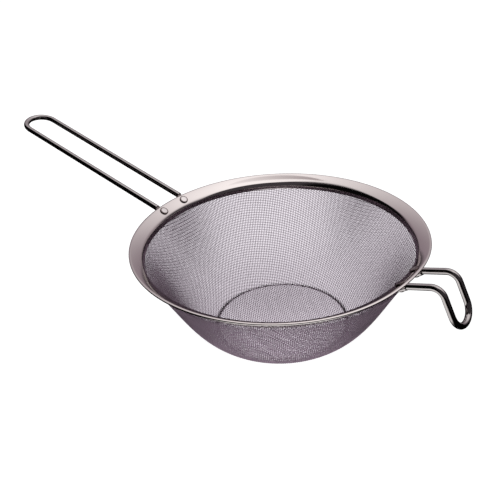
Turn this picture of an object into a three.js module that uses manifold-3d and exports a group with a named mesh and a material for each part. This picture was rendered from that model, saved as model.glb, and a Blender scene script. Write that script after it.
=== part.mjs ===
// Mesh strainer in polished steel. A pressed brim with a collar holds a bowl of wire cloth, pressed
// from one round sheet, with a flat base. A wire loop handle and, opposite it, a wire rest hook have
// flattened ends under the brim, and two rivets fix each of them.
// Millimetres, +Z up. The origin is the middle of the flat base, on the surface that it stands on.
// The handle points along -X and the rest hook along +X.

import * as THREE from 'three';
import { mergeVertices } from 'three/addons/utils/BufferGeometryUtils.js';
import Module from 'manifold-3d';

const wasm = await Module();
wasm.setup();

const DEGREE = Math.PI / 180;

// Clearance between pieces that seat on each other
const SEAT_GAP = 0.3;

// Brim and collar, one ring of sheet steel
const BRIM_RADIUS = 100;
const EDGE_HEIGHT = 70;
const BRIM_WIDTH = 8.8;
const BRIM_RISE = 5.4;
const COLLAR_HEIGHT = 4.7;
const COLLAR_DRAW_IN = 1.1;
const SHEET_THICKNESS = 0.8;
const BRIM_BEND_RADIUS = 3.5;
const RING_FACETS = 72;

// The hook's tabs have lifted the brim where they are riveted to it
const BRIM_LIFT = 2.2;
const BRIM_LIFT_SPREAD = 20 * DEGREE;

// Bowl of wire cloth: wires fused where they cross, and a crimped selvage round the collar
const BASE_RADIUS = 46.9;
const WALL_FOOT_ANGLE = 66 * DEGREE;
const WALL_TOP_ANGLE = 36 * DEGREE;
const CLOTH_PITCH = 9.4;
const CLOTH_WIRE_WIDTH = 1.05;
const CLOTH_WIRE_HEIGHT = 1.0;
const WEAVE_TURN = 42 * DEGREE;
const SELVAGE_LAP = 2.8;
const SELVAGE_SKIRT = 1.0;
const SELVAGE_MARGIN = 1.5;
const SELVAGE_SWELL = 0.1;
const CROSSINGS_PAST_EDGE = 1.5;

// Wire of the handle and the hook, flattened where it is riveted
const WIRE_DIAMETER = 4.2;
const WIRE_SIDES = 10;
const TAB_THICKNESS = 2.4;
const TAB_WIDTH = 5.6;
const TAB_REACH = 3.2;
const TAB_OVERHANG = 0.4;
const TAB_SQUARENESS = 5;
const TAB_NOSE_BLUNTNESS = 0.5;
const FLATTENING_LENGTH = 3;
const BEND_STEP = 16 * DEGREE;

// Handle. Its tabs run out past the brim's edge before its legs level out
const HANDLE_WIDTH = 24;
const HANDLE_REACH = 145.9;
const HANDLE_SLOPE = 14.6 * DEGREE;
const HANDLE_TAB_RUN = 6;
const HANDLE_BEND_RADIUS = 50;

// Rest hook
const HOOK_WIDTH = 20.4;
const HOOK_ARM_SLOPE = 17 * DEGREE;
const HOOK_TAB_RUN = 2.8;
const HOOK_BEND_RADIUS = 14;
const HOOK_ELBOW_REACH = 20.8;
const HOOK_ELBOW_RADIUS = 7.5;
const HOOK_FALL_ANGLE = 25.3 * DEGREE;
const HOOK_FALL_LENGTH = 29.2;
const HOOK_TOE_RADIUS = 10;

// Rivets
const RIVET_SHANK_DIAMETER = 2.6;
const RIVET_HEAD_DIAMETER = 6.2;
const RIVET_HEAD_HEIGHT = 0.9;
const RIVET_TAIL_DIAMETER = 4.4;
const RIVET_TAIL_HEIGHT = 1.1;
const RIVET_FACETS = 12;

// Polished finishes
const brimSteel = new THREE.MeshStandardMaterial({ color: 0xcfc6c4, roughness: 0.16, metalness: 1 });
const clothSteel = new THREE.MeshStandardMaterial({ color: 0xbdb4ba, roughness: 0.3, metalness: 1 });
const wireSteel = new THREE.MeshStandardMaterial({ color: 0xd4cfce, roughness: 0.1, metalness: 1 });
const rivetSteel = new THREE.MeshStandardMaterial({ color: 0xc4bcba, roughness: 0.2, metalness: 1 });

// A closed geometry becomes a solid that can be cut and joined, and a geometry again
function toSolid(geometry) {
  const bare = new THREE.BufferGeometry();
  bare.setAttribute('position', geometry.getAttribute('position'));
  bare.setIndex(geometry.index);
  const merged = mergeVertices(bare, 1e-4);
  const vertProperties = Float32Array.from(merged.getAttribute('position').array);
  const triVerts = Uint32Array.from(merged.index.array);
  return new wasm.Manifold(new wasm.Mesh({ numProp: 3, vertProperties, triVerts }));
}

function toGeometry(solid) {
  const mesh = solid.getMesh();
  const geometry = new THREE.BufferGeometry();
  geometry.setAttribute('position', new THREE.Float32BufferAttribute(mesh.vertProperties, 3));
  geometry.setIndex(new THREE.Uint32BufferAttribute(mesh.triVerts, 1));
  return geometry;
}

function geometryFrom(vertices, triangles) {
  const geometry = new THREE.BufferGeometry();
  const coordinates = vertices.flatMap((vertex) => vertex.toArray());
  geometry.setAttribute('position', new THREE.Float32BufferAttribute(coordinates, 3));
  geometry.setIndex(triangles.flat());
  return geometry;
}

// A profile of points, across and up, listed clockwise and turned about the upright axis
function revolve(profile, facets) {
  return new THREE.LatheGeometry(profile.slice().reverse(), facets).rotateX(Math.PI / 2);
}

function arcPoints(centre, radius, from, to, steps) {
  return Array.from({ length: steps + 1 }, (_, k) => {
    const angle = from + ((to - from) * k) / steps;
    return new THREE.Vector2(centre.x + radius * Math.cos(angle), centre.y + radius * Math.sin(angle));
  });
}

function walk(start, ...steps) {
  const point = start.clone();
  steps.forEach(([direction, length]) => point.addScaledVector(direction, length));
  return point;
}

// The brim in section: it slopes up and out from its corner, and the collar hangs from that corner
const brimSlope = Math.atan2(BRIM_RISE, BRIM_WIDTH);
const brimOut = new THREE.Vector2(Math.cos(brimSlope), Math.sin(brimSlope));
const brimUp = new THREE.Vector2(-brimOut.y, brimOut.x);
const brimEdge = new THREE.Vector2(BRIM_RADIUS, EDGE_HEIGHT);
const brimCorner = new THREE.Vector2(BRIM_RADIUS - BRIM_WIDTH, EDGE_HEIGHT - BRIM_RISE);
const collarFoot = new THREE.Vector2(brimCorner.x - COLLAR_DRAW_IN, brimCorner.y - COLLAR_HEIGHT);
const collarUp = brimCorner.clone().sub(collarFoot).normalize();
const collarOut = new THREE.Vector2(collarUp.y, -collarUp.x);

function brimProfile() {
  const upAngle = brimUp.angle();
  const inAngle = collarOut.clone().negate().angle();
  const bendAlong = (BRIM_BEND_RADIUS * (1 + brimUp.dot(collarOut))) / brimOut.dot(collarOut);
  const bendCentre = walk(brimCorner, [brimOut, bendAlong], [brimUp, -BRIM_BEND_RADIUS]);
  const edgeRadius = SHEET_THICKNESS / 2;
  const edgeSetback = (edgeRadius * (1 + brimOut.y)) / brimOut.x;
  const edgeCentre = walk(brimEdge, [brimOut, -edgeSetback], [brimUp, -edgeRadius]);
  return [
    collarFoot,
    ...arcPoints(bendCentre, BRIM_BEND_RADIUS, inAngle, upAngle, 3),
    ...arcPoints(edgeCentre, edgeRadius, upAngle, upAngle - Math.PI, 4),
    ...arcPoints(bendCentre, BRIM_BEND_RADIUS - SHEET_THICKNESS, upAngle, inAngle, 2),
    walk(collarFoot, [collarOut, SHEET_THICKNESS]),
    collarFoot,
  ];
}

function brimLift(azimuth) {
  return BRIM_LIFT * Math.exp(-((azimuth / BRIM_LIFT_SPREAD) ** 2));
}

// The brim rises with the lift, and the collar is drawn up from its foot
function brimGeometry() {
  const geometry = revolve(brimProfile(), RING_FACETS);
  const position = geometry.getAttribute('position');
  for (let k = 0; k < position.count; k += 1) {
    const azimuth = Math.atan2(position.getY(k), position.getX(k));
    const share = (position.getZ(k) - collarFoot.y) / COLLAR_HEIGHT;
    const lift = brimLift(azimuth) * THREE.MathUtils.clamp(share, 0, 1);
    position.setZ(k, position.getZ(k) + lift);
  }
  return geometry;
}

// Where a rivet goes through the brim, midway across it, and the wire's flattened end below it. The tabs
// run straight out from the axis to where the legs, which are parallel, meet them.
const rivetRing = BRIM_RADIUS - BRIM_WIDTH / 2;
const tabDepth = SHEET_THICKNESS + SEAT_GAP + TAB_THICKNESS / 2;

function rivetSeat(side, y, tabRun) {
  const legReach = BRIM_RADIUS + tabRun;
  const azimuth = side > 0 ? Math.asin(y / legReach) : Math.PI - Math.asin(y / legReach);
  const radial = new THREE.Vector3(Math.cos(azimuth), Math.sin(azimuth), 0);
  const upright = new THREE.Vector3(0, 0, 1);
  const height = EDGE_HEIGHT - BRIM_RISE / 2 + brimLift(Math.abs(azimuth));
  const point = walk(new THREE.Vector3(), [radial, rivetRing], [upright, height]);
  const normal = walk(new THREE.Vector3(), [radial, -brimOut.y], [upright, brimOut.x]);
  const out = walk(new THREE.Vector3(), [radial, brimOut.x], [upright, brimOut.y]);
  const tabCentre = walk(point, [normal, -tabDepth]);
  const tabLength = (legReach - tabCentre.dot(radial)) / brimOut.x;
  return { side, y, point, normal, out, tabCentre, legStart: walk(tabCentre, [out, tabLength]) };
}

const handleSeats = [-1, 1].map((hand) => rivetSeat(-1, (hand * HANDLE_WIDTH) / 2, HANDLE_TAB_RUN));
const hookSeats = [-1, 1].map((hand) => rivetSeat(1, (hand * HOOK_WIDTH) / 2, HOOK_TAB_RUN));

function rivetHole({ point, normal }) {
  const above = SHEET_THICKNESS + RIVET_HEAD_HEIGHT;
  const below = tabDepth + TAB_THICKNESS;
  const radius = RIVET_SHANK_DIAMETER / 2 + SEAT_GAP;
  const upright = new THREE.Vector3(0, 1, 0);
  const centre = walk(point, [normal, (above - below) / 2]);
  const cylinder = new THREE.CylinderGeometry(radius, radius, above + below, RIVET_FACETS);
  cylinder.applyQuaternion(new THREE.Quaternion().setFromUnitVectors(upright, normal));
  return toSolid(cylinder.translate(centre.x, centre.y, centre.z));
}

function drilled(geometry, seats) {
  const blank = toSolid(geometry);
  return toGeometry(seats.reduce((solid, seat) => solid.subtract(rivetHole(seat)), blank));
}

// The cloth's outer face in section, from the middle of the base to the top of the selvage
const selvageInside = CLOTH_WIRE_HEIGHT + SELVAGE_SWELL;
const selvageLine = walk(collarFoot, [collarOut, SHEET_THICKNESS + SEAT_GAP + selvageInside]);
const selvageTop = walk(selvageLine, [collarUp, SELVAGE_LAP]);
const selvageBend = walk(selvageLine, [collarUp, -SELVAGE_SKIRT]);

function clothSection() {
  const reach = Math.hypot(selvageBend.x - BASE_RADIUS, selvageBend.y) / 3;
  const section = new THREE.Path();
  section.moveTo(0, 0);
  section.lineTo(BASE_RADIUS, 0);
  section.bezierCurveTo(
    BASE_RADIUS + reach * Math.sin(WALL_FOOT_ANGLE),
    reach * Math.cos(WALL_FOOT_ANGLE),
    selvageBend.x - reach * Math.sin(WALL_TOP_ANGLE),
    selvageBend.y - reach * Math.cos(WALL_TOP_ANGLE),
    selvageBend.x,
    selvageBend.y,
  );
  section.lineTo(selvageTop.x, selvageTop.y);
  return section;
}

// Flat cloth: a square grid of three-sided wires, flat on the outer face and ridged on the inner one
function flatGrid(radius) {
  const half = CLOTH_WIRE_WIDTH / 2;
  const lines = Math.ceil(radius / CLOTH_PITCH) + 1;
  const vertices = [];
  const crossings = new Map();
  for (let i = -lines; i <= lines; i += 1) {
    for (let j = -lines; j <= lines; j += 1) {
      if (Math.hypot(i, j) * CLOTH_PITCH < radius + CROSSINGS_PAST_EDGE * CLOTH_PITCH) {
        const first = vertices.length;
        const [x, y] = [i * CLOTH_PITCH, j * CLOTH_PITCH];
        [[-1, -1], [1, -1], [1, 1], [-1, 1]].forEach(([a, b]) => {
          vertices.push(new THREE.Vector3(x + a * half, y + b * half, 0));
        });
        vertices.push(new THREE.Vector3(x, y, CLOTH_WIRE_HEIGHT));
        crossings.set(`${i},${j}`, { i, j, corners: [0, 1, 2, 3].map((k) => first + k), ridge: first + 4 });
      }
    }
  }
  const triangles = [];
  const ways = [[1, 0], [0, 1], [-1, 0], [0, -1]];
  for (const { i, j, corners, ridge } of crossings.values()) {
    triangles.push([corners[0], corners[3], corners[2]], [corners[0], corners[2], corners[1]]);
    ways.forEach(([di, dj], way) => {
      const right = corners[(way + 1) % 4];
      const left = corners[(way + 2) % 4];
      const next = crossings.get(`${i + di},${j + dj}`);
      if (!next) {
        triangles.push([right, left, ridge]);
      } else if (way < 2) {
        const nextRight = next.corners[way];
        const nextLeft = next.corners[(way + 3) % 4];
        triangles.push([right, left, nextLeft], [right, nextLeft, nextRight]);
        triangles.push([left, ridge, next.ridge], [left, next.ridge, nextLeft]);
        triangles.push([right, next.ridge, ridge], [right, nextRight, next.ridge]);
      }
    });
  }
  return geometryFrom(vertices, triangles).rotateZ(WEAVE_TURN);
}

// The flat sheet is trimmed round, joined to its selvage and pressed into the section's form
function pressedCloth() {
  const section = clothSection();
  const lengths = section.getCurveLengths();
  const [, bendLength, topLength] = lengths;
  const innerLength = bendLength - SELVAGE_MARGIN;
  const trimRadius = (innerLength + topLength) / 2;
  const trim = new THREE.CylinderGeometry(trimRadius, trimRadius, 4 * CLOTH_WIRE_HEIGHT, RING_FACETS);
  const [outside, inside] = [-SELVAGE_SWELL, selvageInside];
  const selvage = revolve(
    [
      [innerLength, outside],
      [innerLength, inside],
      [bendLength, inside],
      [topLength, inside],
      [topLength, outside],
      [bendLength, outside],
      [innerLength, outside],
    ].map(([across, up]) => new THREE.Vector2(across, up)),
    RING_FACETS,
  );
  const sheet = toSolid(flatGrid(innerLength)).intersect(toSolid(trim.rotateX(Math.PI / 2)));
  const geometry = toGeometry(sheet.add(toSolid(selvage)));
  const position = geometry.getAttribute('position');
  for (let k = 0; k < position.count; k += 1) {
    const [x, y, up] = [position.getX(k), position.getY(k), position.getZ(k)];
    const share = Math.min(Math.hypot(x, y) / topLength, 1);
    const azimuth = Math.atan2(y, x);
    const point = section.getPoint(share);
    const tangent = section.getTangent(share);
    const across = point.x - tangent.y * up;
    position.setXYZ(k, across * Math.cos(azimuth), across * Math.sin(azimuth), point.y + tangent.x * up);
  }
  return geometry;
}

// A wire's path: straight runs between corners, each corner rounded to its radius
function wirePath(corners, radii) {
  const path = [{ point: corners[0], tangent: corners[1].clone().sub(corners[0]).normalize() }];
  for (let k = 1; k < corners.length - 1; k += 1) {
    const before = corners[k].clone().sub(corners[k - 1]).normalize();
    const after = corners[k + 1].clone().sub(corners[k]).normalize();
    const turn = before.angleTo(after);
    const inward = walk(after, [before, -before.dot(after)]).normalize();
    const start = walk(corners[k], [before, -radii[k] * Math.tan(turn / 2)]);
    const steps = Math.ceil(turn / BEND_STEP);
    for (let step = 0; step <= steps; step += 1) {
      const angle = (turn * step) / steps;
      path.push({
        point: walk(start, [before, radii[k] * Math.sin(angle)], [inward, radii[k] * (1 - Math.cos(angle))]),
        tangent: walk(new THREE.Vector3(), [before, Math.cos(angle)], [inward, Math.sin(angle)]),
      });
    }
  }
  const last = corners.length - 1;
  path.push({ point: corners[last], tangent: corners[last].clone().sub(corners[last - 1]).normalize() });
  return path;
}

// Points along a path by distance, with extra ones where the flattened ends change section
function wireStations(path, tabLength) {
  const marks = [
    ...[1 / 6, 1 / 2, 1].map((share) => (share * TAB_WIDTH) / 2),
    ...[0, 1 / 3, 2 / 3, 1].map((share) => tabLength + share * FLATTENING_LENGTH),
  ];
  let distance = 0;
  const stations = [{ ...path[0], distance }];
  const runs = path.slice(1).map((to, k) => {
    const from = path[k];
    return { from, to, length: to.point.distanceTo(from.point) };
  });
  const total = runs.reduce((sum, run) => sum + run.length, 0);
  const stops = [...marks, ...marks.map((mark) => total - mark)].sort((a, b) => a - b);
  for (const { from, to, length } of runs.filter((run) => run.length > 1e-6)) {
    for (const stop of stops.filter((mark) => mark > distance + 0.1 && mark < distance + length - 0.1)) {
      const share = (stop - distance) / length;
      const point = from.point.clone().lerp(to.point, share);
      const tangent = from.tangent.clone().lerp(to.tangent, share).normalize();
      stations.push({ point, tangent, distance: stop });
    }
    distance += length;
    stations.push({ ...to, distance });
  }
  return stations.map((station) => {
    const fromEnd = Math.min(station.distance, total - station.distance);
    return { ...station, fromEnd };
  });
}

// A wire of round section along a path, with both ends flattened to round-nosed tabs
function bentWire(path, firstUp, tabLength) {
  const stations = wireStations(path, tabLength);
  const up = firstUp.clone();
  const vertices = [];
  const triangles = [];
  stations.forEach(({ point, tangent, fromEnd }, k) => {
    if (k > 0) {
      up.applyQuaternion(new THREE.Quaternion().setFromUnitVectors(stations[k - 1].tangent, tangent));
    }
    const across = new THREE.Vector3().crossVectors(up, tangent).normalize();
    const roundness = THREE.MathUtils.smoothstep(fromEnd, tabLength, tabLength + FLATTENING_LENGTH);
    const toNose = Math.max(0, 1 - fromEnd / (TAB_WIDTH / 2));
    const nose = Math.sqrt(1 - (1 - TAB_NOSE_BLUNTNESS ** 2) * toNose ** 2);
    const halfWidth = THREE.MathUtils.lerp(TAB_WIDTH / 2, WIRE_DIAMETER / 2, roundness) * nose;
    const halfHeight = THREE.MathUtils.lerp(TAB_THICKNESS / 2, WIRE_DIAMETER / 2, roundness);
    const power = 2 / THREE.MathUtils.lerp(TAB_SQUARENESS, 2, roundness);
    for (let side = 0; side < WIRE_SIDES; side += 1) {
      const angle = ((side + 0.5) * 2 * Math.PI) / WIRE_SIDES;
      const [c, s] = [Math.cos(angle), Math.sin(angle)];
      const a = Math.sign(c) * Math.abs(c) ** power * halfWidth;
      const b = Math.sign(s) * Math.abs(s) ** power * halfHeight;
      vertices.push(walk(point, [across, a], [up, b]));
      if (k > 0) {
        const next = (side + 1) % WIRE_SIDES;
        const [near, far] = [(k - 1) * WIRE_SIDES, k * WIRE_SIDES];
        triangles.push([near + side, near + next, far + next], [near + side, far + next, far + side]);
      }
    }
  });
  const lastRing = (stations.length - 1) * WIRE_SIDES;
  const firstCap = vertices.length;
  vertices.push(stations[0].point, stations[stations.length - 1].point);
  for (let side = 0; side < WIRE_SIDES; side += 1) {
    const next = (side + 1) % WIRE_SIDES;
    triangles.push([firstCap, next, side], [firstCap + 1, lastRing + side, lastRing + next]);
  }
  return geometryFrom(vertices, triangles);
}

// Both wires are symmetric: one half of the corners is given, and mirrored across the XZ plane
const mirrored = (point) => new THREE.Vector3(point.x, -point.y, point.z);

function symmetricWire(halfCorners, halfRadii, seats) {
  const corners = [...halfCorners, ...halfCorners.map(mirrored).reverse()];
  const radii = [...halfRadii, ...halfRadii.slice().reverse()];
  const brimReach = BRIM_WIDTH / 2 / Math.cos(brimSlope);
  const tabLength = TAB_REACH + brimReach + TAB_OVERHANG;
  return drilled(bentWire(wirePath(corners, radii), seats[0].normal, tabLength), seats);
}

// A point on a leg's line, at a distance from the axis along X
function alongLeg({ side, y, legStart }, reach, slope) {
  return new THREE.Vector3(side * reach, y, legStart.z + (reach - Math.abs(legStart.x)) * Math.tan(slope));
}

function handleWire() {
  const [seat] = handleSeats;
  const nose = walk(seat.tabCentre, [seat.out, -TAB_REACH]);
  const tip = alongLeg(seat, BRIM_RADIUS + HANDLE_REACH, HANDLE_SLOPE);
  return symmetricWire([nose, seat.legStart, tip], [0, HANDLE_BEND_RADIUS, HANDLE_WIDTH / 2], handleSeats);
}

function hookWire() {
  const [seat] = hookSeats;
  const nose = walk(seat.tabCentre, [seat.out, -TAB_REACH]);
  const elbow = alongLeg(seat, BRIM_RADIUS + HOOK_ELBOW_REACH, HOOK_ARM_SLOPE);
  const fall = new THREE.Vector3(seat.side * Math.sin(HOOK_FALL_ANGLE), 0, -Math.cos(HOOK_FALL_ANGLE));
  const corners = [nose, seat.legStart, elbow, walk(elbow, [fall, HOOK_FALL_LENGTH])];
  return symmetricWire(corners, [0, HOOK_BEND_RADIUS, HOOK_ELBOW_RADIUS, HOOK_TOE_RADIUS], hookSeats);
}

// A rivet stands on its own axis: a domed head above the brim, a shank, and a domed tail below the tab
function domePoints(diameter, height, from, to) {
  const radius = ((diameter / 2) ** 2 + height ** 2) / (2 * height);
  const span = Math.asin(diameter / 2 / radius);
  const centre = new THREE.Vector2(0, height - radius);
  return arcPoints(centre, radius, Math.PI / 2 - span * from, Math.PI / 2 - span * to, 4);
}

function rivetGeometry() {
  const grip = 3 * SEAT_GAP + SHEET_THICKNESS + TAB_THICKNESS;
  const shank = RIVET_SHANK_DIAMETER / 2;
  const head = domePoints(RIVET_HEAD_DIAMETER, RIVET_HEAD_HEIGHT, 0, 1);
  const tail = domePoints(RIVET_TAIL_DIAMETER, RIVET_TAIL_HEIGHT, 1, 0);
  const below = tail.map((point) => new THREE.Vector2(point.x, -grip - point.y));
  const shankEnds = [new THREE.Vector2(shank, 0), new THREE.Vector2(shank, -grip)];
  return revolve([...head, ...shankEnds, ...below], RIVET_FACETS);
}

function rivet(name, { point, normal }) {
  const mesh = new THREE.Mesh(rivetGeometry(), rivetSteel);
  mesh.name = name;
  mesh.position.copy(walk(point, [normal, SEAT_GAP]));
  mesh.quaternion.setFromUnitVectors(new THREE.Vector3(0, 0, 1), normal);
  return mesh;
}

function named(name, geometry, material) {
  const mesh = new THREE.Mesh(geometry, material);
  mesh.name = name;
  return mesh;
}

const strainer = new THREE.Group();
const brim = drilled(brimGeometry(), [...handleSeats, ...hookSeats]);
strainer.add(named('brim_ring', brim, brimSteel));
strainer.add(named('mesh_bowl', pressedCloth(), clothSteel));

const handle = new THREE.Group();
handle.add(named('handle_wire', handleWire(), wireSteel));
handle.add(rivet('handle_rivet_left', handleSeats[0]), rivet('handle_rivet_right', handleSeats[1]));
strainer.add(handle);

const hook = new THREE.Group();
hook.add(named('hook_wire', hookWire(), wireSteel));
hook.add(rivet('hook_rivet_left', hookSeats[1]), rivet('hook_rivet_right', hookSeats[0]));
strainer.add(hook);

export default strainer;
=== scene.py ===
"""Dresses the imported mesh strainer: woven cloth, polished brim, bent wires, rivets and a plain stage."""

import bisect
import math

import bmesh
import bpy
from bpy.props import FloatProperty, FloatVectorProperty, IntProperty, PointerProperty
from mathutils import Matrix, Quaternion, Vector
from mathutils.geometry import interpolate_bezier


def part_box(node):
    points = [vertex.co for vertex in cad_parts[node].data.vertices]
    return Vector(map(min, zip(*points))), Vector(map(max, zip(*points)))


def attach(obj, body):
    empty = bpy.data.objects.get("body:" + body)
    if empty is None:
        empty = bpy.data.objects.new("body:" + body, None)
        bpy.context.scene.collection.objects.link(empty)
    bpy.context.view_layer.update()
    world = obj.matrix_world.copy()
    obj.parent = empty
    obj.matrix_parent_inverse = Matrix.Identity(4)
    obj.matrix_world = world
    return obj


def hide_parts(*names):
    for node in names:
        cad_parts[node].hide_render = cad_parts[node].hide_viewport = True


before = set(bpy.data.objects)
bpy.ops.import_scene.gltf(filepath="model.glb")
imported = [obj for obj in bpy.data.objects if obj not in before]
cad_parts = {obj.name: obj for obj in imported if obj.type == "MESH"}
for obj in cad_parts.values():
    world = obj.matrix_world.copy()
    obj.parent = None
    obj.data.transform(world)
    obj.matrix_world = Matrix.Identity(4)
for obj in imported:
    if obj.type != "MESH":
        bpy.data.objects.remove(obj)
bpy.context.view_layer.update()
brim_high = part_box("brim_ring")[1]

bl_info = {
    "name": "Mesh Strainer",
    "version": (1, 0, 0),
    "blender": (4, 5, 0),
    "location": "3D View > Sidebar > Strainer",
    "description": "Weaves, spins and bends the visible pieces of a mesh strainer over its packed solids",
    "category": "Add Mesh",
}

MM = 0.001
BODY = "root"
BRIM_LIFT = 2.2 * MM
UP = Vector((0.0, 0.0, 1.0))
MERGE_DISTANCE = 1e-6

# Roundings of the brim and of a tab's nose, as shares of the lip's width or of a thickness
LIP_ROUNDING = 0.35
EDGE_ROUNDING = 0.49
FOOT_ROUNDING = 0.2
NOSE_ROUNDING = 0.3

# The weave: a tube's thickness over the wire's, a crest's length over the pitch, the middle bundle's share
TUBE_SHARE = 1.06
CREST_SHARE = 1.0 / 3.0
MIDDLE_BUNDLE = 0.3

# The search for a crossing: its rounds, the most turn in one of them, and the least that still counts
NEWTON_ROUNDS = 12
MOST_TURN = 0.2
LEAST_WALK = 1e-9
LEAST_SPREAD = 1e-15

# The rivets: the straight rim of the closed end, and where the painted dark ring of shade and reflection
# round the head begins and fills, as shares of the radius
TAIL_RIM = 0.25 * MM
RIM_SHADE_START = 0.64
RIM_SHADE_FULL = 0.78
RIM_SHADE = "rim"

# The floor: reach behind the axis and radius of the rounds that the bowl hides and shades, where the floor's
# glow is tinted as painted shade
SHADE_ROUNDS = ((0.022, 0.071), (0.065, 0.097), (0.1245, 0.128))
SHADE_EDGE = 0.85
FLOOR_COLOUR = (0.5, 0.5, 0.5)
FLOOR_HALF_WIDTH = 4.0

# The cards, by their direction to the right of the view, behind the strainer and up
CEILING_WAY = (0.18, 0.984)
CEILING_FADE = 2.2
BAR_BEHIND = 0.10
BAR_TAPER = 1.44
BAR_EDGE = (0.12, 0.09)
BAR_SHARES = (0.95, 0.25)
BAR_ENDS = (-0.22, 0.22)
FRONT_EDGE = (-0.34, -0.22)
LEFT_EDGE = (-0.80, -0.62)
RIGHT_EDGE = (0.95, 0.75)
BLACK_EDGE = (-0.5, -0.25)
HORIZON = (0.03, 0.16)
MAT_HEIGHT = 0.5 * MM


def clamp(value, low=0.0, high=1.0):
    """The value, kept between two others."""
    return max(low, min(high, value))


def number(name, description, value, **kind):
    """A number, with its unit or subtype where it has one."""
    return FloatProperty(name=name, description=description, default=value, **kind)


def length(name, description, metres):
    """A size in metres."""
    return number(name, description, metres, min=0.0, precision=5, unit="LENGTH")


def angle(name, description, degrees):
    """An angle, shown in degrees."""
    return number(name, description, math.radians(degrees), subtype="ANGLE")


def tint(name, description, red, green, blue):
    """A linear colour."""
    return FloatVectorProperty(
        name=name, description=description, default=(red, green, blue), min=0.0, max=1.0, subtype="COLOR"
    )


def place(name, description, x, y, z):
    """A place in metres."""
    return FloatVectorProperty(
        name=name, description=description, default=(x, y, z), subtype="TRANSLATION", unit="LENGTH"
    )


class STRAINER_PG_brim(bpy.types.PropertyGroup):
    """Sizes of the sheet ring, a brim that slopes up and out over a short collar."""

    edge_radius: length("Edge radius", "From the axis to the brim's outer edge", brim_high.x)
    edge_height: length("Edge height", "From the table to the edge's top", brim_high.z - BRIM_LIFT)
    width: length("Brim width", "From the bend to the edge, seen from above", 8.8 * MM)
    rise: length("Brim rise", "From the bend up to the edge", 5.4 * MM)
    lip: length("Lip", "Width of the lip along the edge", 1.2 * MM)
    lip_droop: length("Lip droop", "How far the lip droops to the edge", 0.32 * MM)
    bend_lift: length("Bend lift", "How far the bend is rounded up over the sheet's middle line", 0.46 * MM)
    crown: length("Crown", "How far the brim bulges across its width", 0.3 * MM)
    collar_height: length("Collar height", "From the collar's foot up to the bend", 3.55 * MM)
    collar_draw_in: length("Collar draw in", "How far the collar's foot is drawn in from the bend", 0.95 * MM)
    thickness: length("Sheet thickness", "Thickness of the sheet", 0.8 * MM)
    bend_radius: length("Bend radius", "Radius of the bend on its upper side", 3.5 * MM)
    lift: length("Lift", "How far the hook's tabs have lifted the brim", BRIM_LIFT)
    lift_spread: angle("Lift spread", "How far round the brim the lift fades", 20.0)
    facets: IntProperty(name="Facets", description="Steps round the ring", default=300, min=24)


class STRAINER_PG_cloth(bpy.types.PropertyGroup):
    """Sizes of the woven cloth and of the bowl that it is pressed into."""

    base_radius: length("Base radius", "From the axis to the crease round the base", 46.2 * MM)
    base_lift: length("Base lift", "How far the base stands above its crease", 1.0 * MM)
    crease_width: length("Crease width", "Width of the groove inside the crease", 0.9 * MM)
    foot_angle: angle("Foot angle", "The wall's lean from upright at the crease", 66.0)
    top_angle: angle("Top angle", "The wall's lean from upright below the collar", 36.0)
    seat_gap: length("Seat gap", "Between the collar and the cloth on it", 0.3 * MM)
    skirt: length("Skirt", "How far the cloth lies flat below the collar's foot", 1.0 * MM)
    lap: length("Lap", "How far the cloth climbs the collar", 3.4 * MM)
    pitch: length("Pitch", "From one wire of the weave to the next", 1.325 * MM)
    wire_diameter: length("Wire diameter", "Diameter of the weave's wires", 0.36 * MM)
    crease_swell: number("Crease swell", "Thickness of the crushed wire in the crease, over its own", 1.7)
    weave_turn: angle("Weave turn", "Turn of the weave from the handle's line", 41.6)


class STRAINER_PG_wires(bpy.types.PropertyGroup):
    """Sizes of the handle's and the hook's bent wire, and of its flattened ends."""

    diameter: length("Wire diameter", "Diameter of both wires", 4.2 * MM)
    sides: IntProperty(name="Sides", description="Faces round a wire", default=28, min=8)
    seat_gap: length("Seat gap", "Between the brim and the tab under it", 0.3 * MM)
    tab_thickness: length("Tab thickness", "Thickness of a flattened end", 2.4 * MM)
    tab_width: length("Tab width", "Width of a flattened end", 5.6 * MM)
    tab_reach: length("Tab reach", "From the rivet to the tab's nose", 3.2 * MM)
    tab_overhang: length("Tab overhang", "How far the flat runs on past the brim's edge", 0.25 * MM)
    flattening: length("Flattening", "Length over which the wire goes flat", 1.0 * MM)
    collar: length("Collar", "A first short length of round wire, past the flattening", 0.5 * MM)
    handle_width: length("Handle width", "Between the two legs of the handle", 24.0 * MM)
    handle_reach: length("Handle reach", "From the brim's edge to the handle's tip", 145.9 * MM)
    handle_slope: angle("Handle slope", "Rise of the handle", 14.6)
    handle_run: length("Handle run", "From the brim's edge to where the legs leave the tabs' line", 6.0 * MM)
    hook_width: length("Hook width", "Between the two legs of the hook", 20.4 * MM)
    hook_slope: angle("Hook slope", "Rise of the hook's arms", 17.0)
    hook_run: length("Hook run", "From the brim's edge to where the arms leave the tabs' line", 2.8 * MM)
    elbow_reach: length("Elbow reach", "From the brim's edge to the elbow", 20.8 * MM)
    elbow_radius: length("Elbow radius", "Bend radius of the elbow", 7.5 * MM)
    fall_angle: angle("Fall angle", "The fall's lean outwards from upright", 25.3)
    fall_length: length("Fall length", "From the elbow to the toe", 29.2 * MM)
    toe_radius: length("Toe radius", "Bend radius of the toe's corners", 10.0 * MM)


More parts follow.
